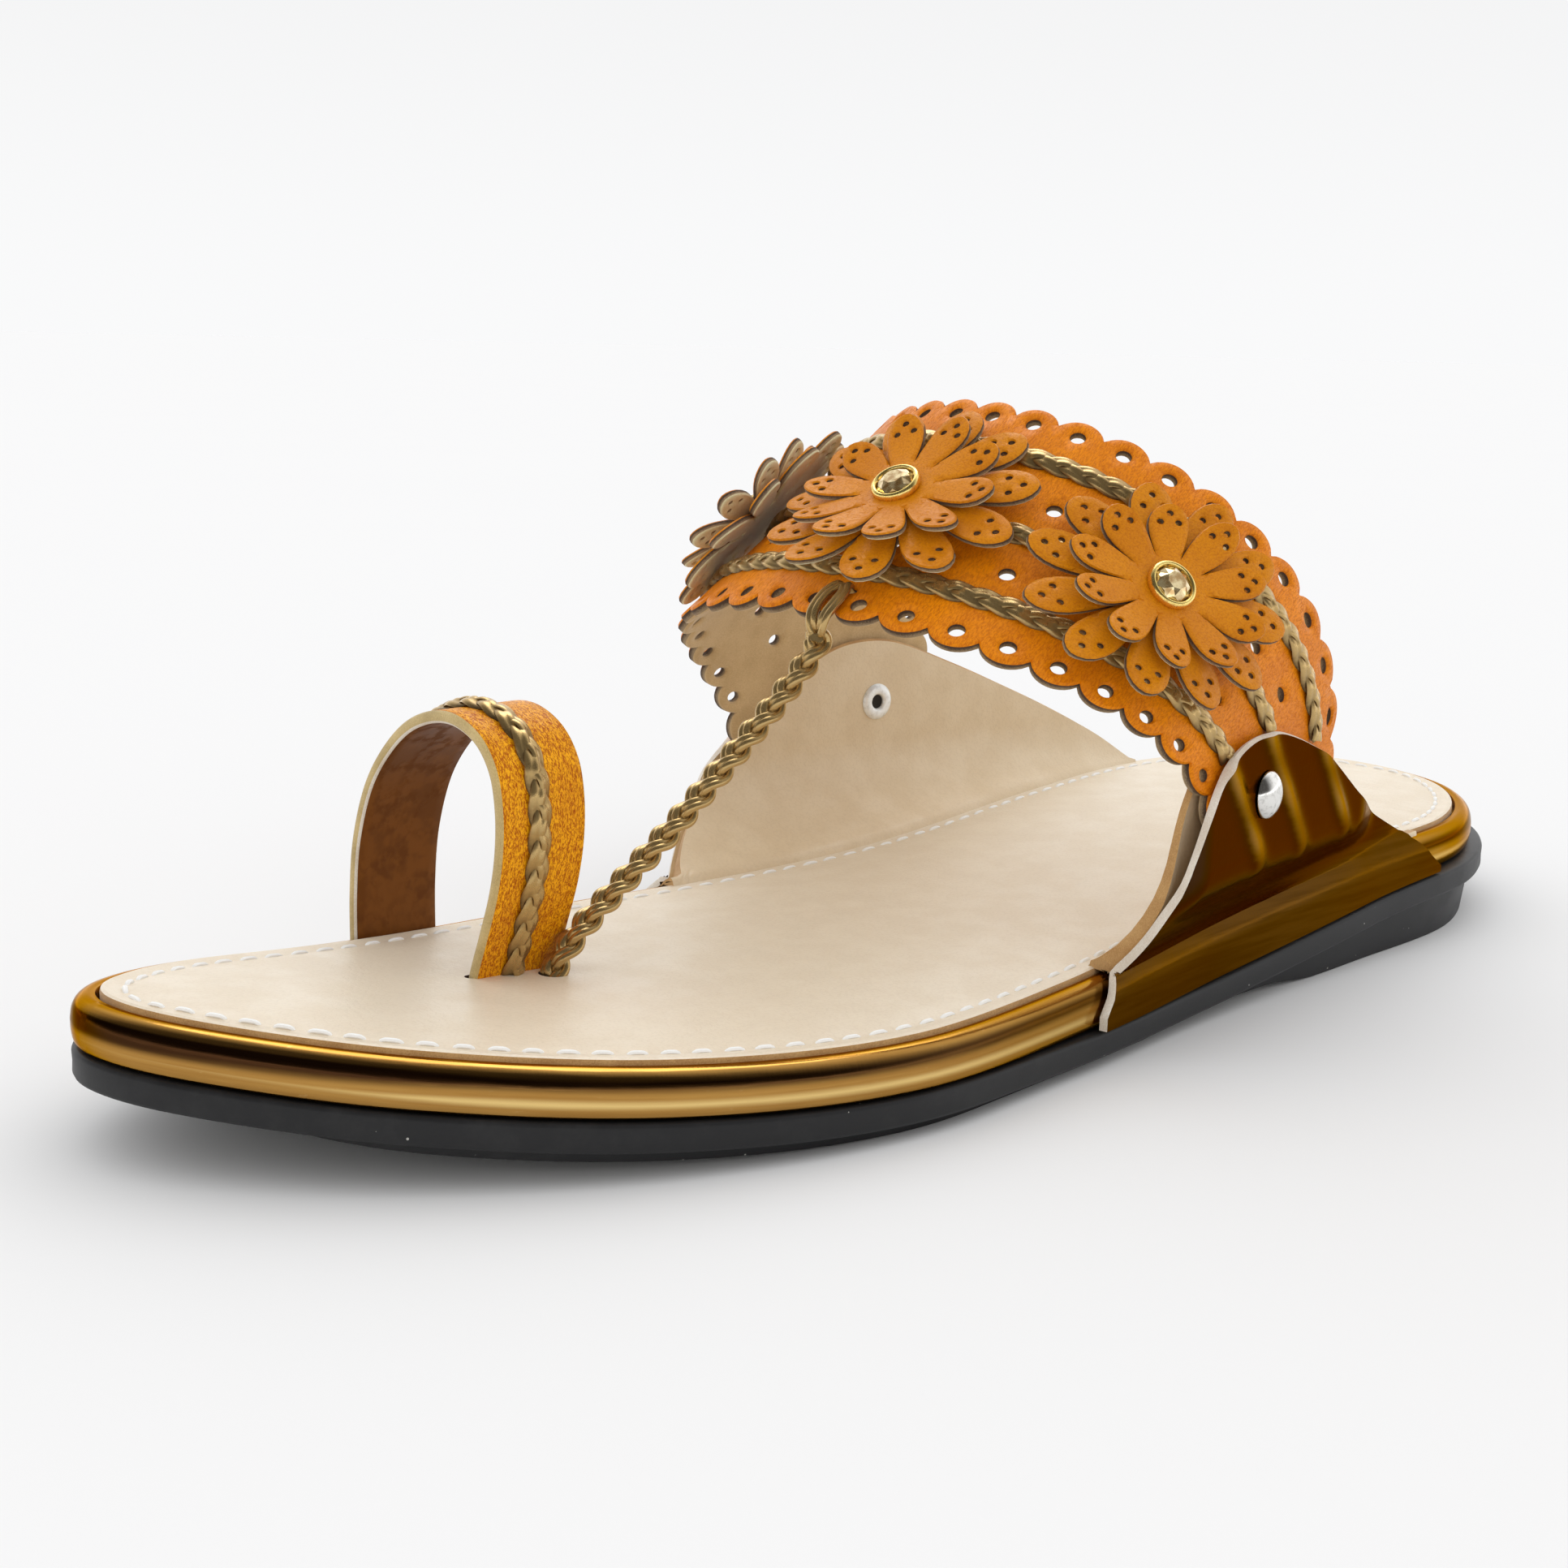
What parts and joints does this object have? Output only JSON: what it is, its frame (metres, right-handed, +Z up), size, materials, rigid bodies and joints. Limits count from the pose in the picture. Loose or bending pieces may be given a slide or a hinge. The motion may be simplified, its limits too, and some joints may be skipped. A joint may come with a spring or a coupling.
{
  "type": "kolhapuri sandal",
  "caption": "Left flat slip-on sandal worn on the foot: rubber sole, bronze edge band, braided toe loop, toe cord and a wide scalloped leather strap with leather flowers.",
  "frame": {"origin": "middle of the box that holds the sandal, on the floor", "axes": "+Z up, -X toward the toe, +X toward the heel, +Y toward the inner side of the foot"},
  "size_m": [0.2568, 0.0974, 0.0856],
  "materials": {
    "rubber": "satin near-black moulded rubber",
    "bronze_foil": "glossy bronze foil leather",
    "beige_leather": "satin beige lining leather",
    "tan_leather": "grained orange-tan leather",
    "bronze_braid": "antique bronze braided cord",
    "gold_metal": "polished gold plate",
    "silver_metal": "polished silver plate",
    "crystal": "clear champagne faceted stone"
  },
  "bodies": {
    "root": {"outsole": "rubber", "midsole": "bronze_foil", "insole": "beige_leather", "strap": "tan_leather", "strap_braid_front": "bronze_braid", "strap_braid_middle": "bronze_braid", "strap_braid_rear": "bronze_braid", "medial_wing": "bronze_foil", "medial_wing_lining": "beige_leather", "medial_wing_rivet_cap": "silver_metal", "medial_wing_eyelet": "silver_metal", "lateral_wing": "bronze_foil", "lateral_wing_lining": "beige_leather", "lateral_wing_rivet_cap": "silver_metal", "lateral_wing_eyelet": "silver_metal", "toe_loop": "tan_leather", "toe_loop_braid": "bronze_braid", "t_cord": "bronze_braid", "flower_medial_lower": "tan_leather", "flower_medial_upper": "tan_leather", "flower_medial_bezel": "gold_metal", "flower_medial_crystal": "crystal", "flower_medial_post": "gold_metal", "flower_centre_lower": "tan_leather", "flower_centre_upper": "tan_leather", "flower_centre_bezel": "gold_metal", "flower_centre_crystal": "crystal", "flower_centre_post": "gold_metal", "flower_lateral_lower": "tan_leather", "flower_lateral_upper": "tan_leather", "flower_lateral_bezel": "gold_metal", "flower_lateral_crystal": "crystal", "flower_lateral_post": "gold_metal"}
  },
  "joints": []
}
